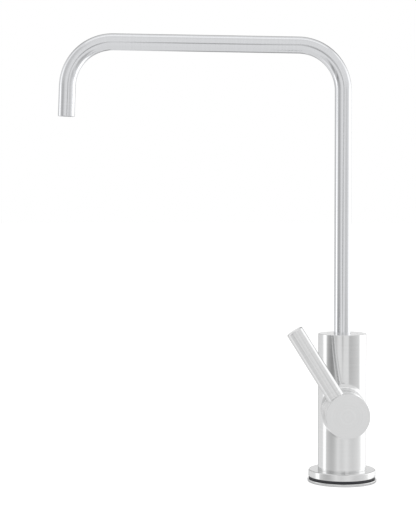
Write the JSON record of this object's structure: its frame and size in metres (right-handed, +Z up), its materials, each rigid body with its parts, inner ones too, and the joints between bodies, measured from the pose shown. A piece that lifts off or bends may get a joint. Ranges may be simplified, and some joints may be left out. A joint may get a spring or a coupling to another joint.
{
  "type": "drinking water filter tap",
  "caption": "Long-reach drinking water tap: bent swivel spout on a round body, side drum knob with a rod lever, and a threaded shank with a push-fit tube inlet below.",
  "frame": {"origin": "centre of the tap's axis at the worktop's top face, on the underside of the base plate", "axes": "+Z up along the tap's axis, -X along the spout's reach at rest, -Y out of the valve knob's face"},
  "size_m": [0.2114, 0.064, 0.3804],
  "materials": {
    "brushed_stainless": "satin brushed stainless steel: fine lathe lines round the turned parts, lines along the tube",
    "plain_stainless": "as turned or pressed",
    "brass": "bright machined brass",
    "black_rubber": "matt moulded rubber",
    "white_acetal": "natural white moulded acetal",
    "alumina": "lapped alumina",
    "grey_plug": "grey moulded cap"
  },
  "bodies": {
    "tap_base": {"body": "brushed_stainless", "base_flange": "brushed_stainless", "base_plate": "brushed_stainless", "spout_retainer": "brushed_stainless", "worktop_steel_washer": "plain_stainless", "threaded_shank": "plain_stainless", "cartridge_body": "brass", "lock_nut": "brass", "base_seal_ring": "black_rubber", "seat_seal": "black_rubber", "bonnet_seal": "black_rubber", "shank_seal": "black_rubber", "worktop_rubber_washer": "black_rubber", "adaptor_seal": "black_rubber", "tube_seal": "black_rubber", "spout_slip_ring": "white_acetal", "tap_adaptor": "white_acetal", "adaptor_cap": "white_acetal", "fixed_disc": "alumina"},
    "spout": {"spout_tube": "brushed_stainless", "spout_tail": "plain_stainless", "spout_seal_lower": "black_rubber", "spout_seal_upper": "black_rubber", "outlet_insert": "white_acetal"},
    "lever": {"knob": "brushed_stainless", "knob_insert": "brass", "lever_rod": "brushed_stainless", "lever_stud": "plain_stainless", "set_screw": "plain_stainless", "set_screw_plug": "grey_plug", "cartridge_spindle": "brass", "moving_disc": "alumina", "spindle_seal": "black_rubber", "spindle_clip": "plain_stainless"},
    "inlet_collet": {"collet": "white_acetal", "grip_ring": "plain_stainless"}
  },
  "joints": [
    {"name": "spout_swivel", "type": "hinge", "parent": "tap_base", "child": "spout", "pos_m": [0, 0, 0.0906], "axis": [0, 0, 1], "continuous": true},
    {"name": "lever_turn", "type": "hinge", "parent": "tap_base", "child": "lever", "pos_m": [0, -0.03, 0.049], "axis": [0, -1, 0], "range_deg": [-32, 58]},
    {"name": "collet_press", "type": "slide", "parent": "tap_base", "child": "inlet_collet", "axis": [0, 0, 1], "range_m": [0, 0.0015]}
  ]
}
